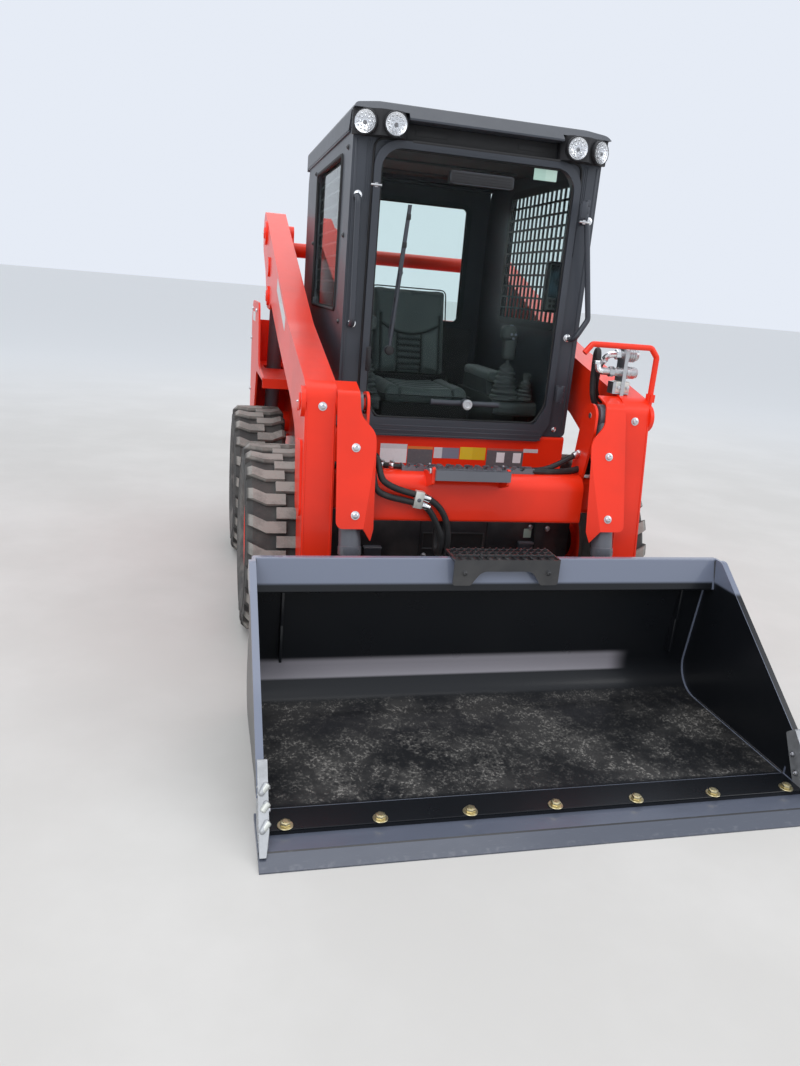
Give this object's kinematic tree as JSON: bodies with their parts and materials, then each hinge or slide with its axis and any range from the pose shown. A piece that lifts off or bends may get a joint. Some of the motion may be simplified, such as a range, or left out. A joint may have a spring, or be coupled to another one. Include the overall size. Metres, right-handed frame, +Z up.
{
  "type": "skid steer loader",
  "caption": "Compact wheeled loader with a closed cab, a lifting boom on rear links and a tilting wide bucket with a bolted cutting edge.",
  "frame": {"origin": "on the ground, at the middle of the overall length and width", "axes": "+Z up, +Y towards the rear, +X towards the driver's left; the bucket points to -Y"},
  "size_m": [1.728, 3.45, 2.084],
  "materials": {
    "red_paint": "gloss",
    "dark_paint": "satin",
    "bucket_paint": "satin, worn",
    "worn_steel": "worn",
    "cast_steel": "as cast",
    "chrome_rod": "polished",
    "silver_fittings": "satin",
    "rim_paint": "satin",
    "tyre": "matt",
    "glass": "clear",
    "black_plastic": "matt",
    "seat_cover": "matt",
    "hose_rubber": "satin"
  },
  "bodies": {
    "chassis": {"main_frame": "red_paint", "belly_pan": "dark_paint", "deck_plates": "dark_paint", "rear_frame": "dark_paint", "cab_sides": "dark_paint", "cab_rear": "dark_paint", "axle_housings": "dark_paint", "engine_block": "dark_paint", "rear_towers": "red_paint", "cab_frame": "dark_paint", "cab_floor": "dark_paint", "front_apron": "red_paint", "cab_roof": "dark_paint", "front_door": "black_plastic", "cab_glass": "glass", "side_screens": "dark_paint", "work_lamps": "black_plastic", "grab_handles": "silver_fittings", "seat_frame": "dark_paint", "seat_cushion": "seat_cover", "seat_back": "seat_cover", "consoles": "black_plastic", "controls": "black_plastic"},
    "hood": {"hood": "red_paint"},
    "rear_door": {"rear_door": "dark_paint"},
    "boom": {"boom_arms": "red_paint", "boom_crossmembers": "red_paint", "cylinder_guards": "red_paint", "step_bars": "dark_paint", "hydraulic_couplers": "silver_fittings", "coupler_guard": "red_paint", "boom_hoses": "hose_rubber"},
    "rear_links": {"rear_links": "red_paint"},
    "control_links": {"control_links": "red_paint"},
    "lift_barrels": {"lift_barrels": "dark_paint"},
    "lift_rods": {"lift_rods": "chrome_rod"},
    "tilt_barrels": {"tilt_barrels": "dark_paint"},
    "tilt_rods": {"tilt_rods": "chrome_rod"},
    "bucket": {"bucket_shell": "bucket_paint", "cutting_edge": "worn_steel", "side_cutters": "cast_steel", "bucket_coupler": "dark_paint", "bucket_step": "dark_paint"},
    "wheel_front_left": {"tyre_front_left": "tyre", "rim_front_left": "rim_paint"},
    "wheel_front_right": {"tyre_front_right": "tyre", "rim_front_right": "rim_paint"},
    "wheel_rear_left": {"tyre_rear_left": "tyre", "rim_rear_left": "rim_paint"},
    "wheel_rear_right": {"tyre_rear_right": "tyre", "rim_rear_right": "rim_paint"}
  },
  "joints": [
    {"name": "wheel_front_left_spin", "type": "hinge", "parent": "chassis", "child": "wheel_front_left", "pos_m": [0.713, -0.111, 0.392], "axis": [1, 0, 0], "continuous": true},
    {"name": "wheel_front_right_spin", "type": "hinge", "parent": "chassis", "child": "wheel_front_right", "pos_m": [-0.713, -0.111, 0.392], "axis": [1, 0, 0], "continuous": true},
    {"name": "wheel_rear_left_spin", "type": "hinge", "parent": "chassis", "child": "wheel_rear_left", "pos_m": [0.713, 0.949, 0.392], "axis": [1, 0, 0], "continuous": true},
    {"name": "wheel_rear_right_spin", "type": "hinge", "parent": "chassis", "child": "wheel_rear_right", "pos_m": [-0.713, 0.949, 0.392], "axis": [1, 0, 0], "continuous": true},
    {"name": "rear_link_swing", "type": "hinge", "parent": "chassis", "child": "rear_links", "pos_m": [0, 1.189, 1.1], "axis": [1, 0, 0], "range_deg": [0, 15.05]},
    {"name": "boom_lift", "type": "hinge", "parent": "rear_links", "child": "boom", "pos_m": [0, 1.389, 1.68], "axis": [-1, 0, 0], "range_deg": [0, 79]},
    {"name": "control_link_swing", "type": "hinge", "parent": "chassis", "child": "control_links", "pos_m": [0, 0.121, 0.901], "axis": [1, 0, 0], "range_deg": [0, 31]},
    {"name": "lift_cylinder_swing", "type": "hinge", "parent": "chassis", "child": "lift_barrels", "pos_m": [0, 1.389, 0.64], "axis": [1, 0, 0], "range_deg": [0, 5]},
    {"name": "lift_rod_slide", "type": "slide", "parent": "lift_barrels", "child": "lift_rods", "axis": [0, -0.2791, 0.9602], "range_m": [0, 0.41]},
    {"name": "bucket_tilt", "type": "hinge", "parent": "boom", "child": "bucket", "pos_m": [0, -0.69, 0.2], "axis": [1, 0, 0], "range_deg": [-22, 98]},
    {"name": "tilt_cylinder_swing", "type": "hinge", "parent": "boom", "child": "tilt_barrels", "pos_m": [0, -0.585, 1.036], "axis": [1, 0, 0], "range_deg": [-2, 2]},
    {"name": "tilt_rod_slide", "type": "slide", "parent": "tilt_barrels", "child": "tilt_rods", "axis": [0, -0.2722, -0.9623], "range_m": [-0.056, 0.24]},
    {"name": "hood_lift", "type": "hinge", "parent": "chassis", "child": "hood", "pos_m": [0, 1.04, 1.233], "axis": [1, 0, 0], "range_deg": [0, 35]},
    {"name": "rear_door_swing", "type": "hinge", "parent": "chassis", "child": "rear_door", "pos_m": [-0.49, 1.674, 0.83], "axis": [0, 0, 1], "range_deg": [0, 100]}
  ],
  "couplings": [
    {"joint": "rear_link_swing", "follows": "boom_lift", "ratio": 0.18987},
    {"joint": "control_link_swing", "follows": "boom_lift", "ratio": 0.38924},
    {"joint": "lift_cylinder_swing", "follows": "boom_lift", "ratio": 0.059603},
    {"joint": "lift_rod_slide", "follows": "boom_lift", "m_per_rad": 0.29459},
    {"joint": "tilt_cylinder_swing", "follows": "bucket_tilt", "ratio": -0.0090273},
    {"joint": "tilt_rod_slide", "follows": "bucket_tilt", "m_per_rad": 0.13703}
  ]
}
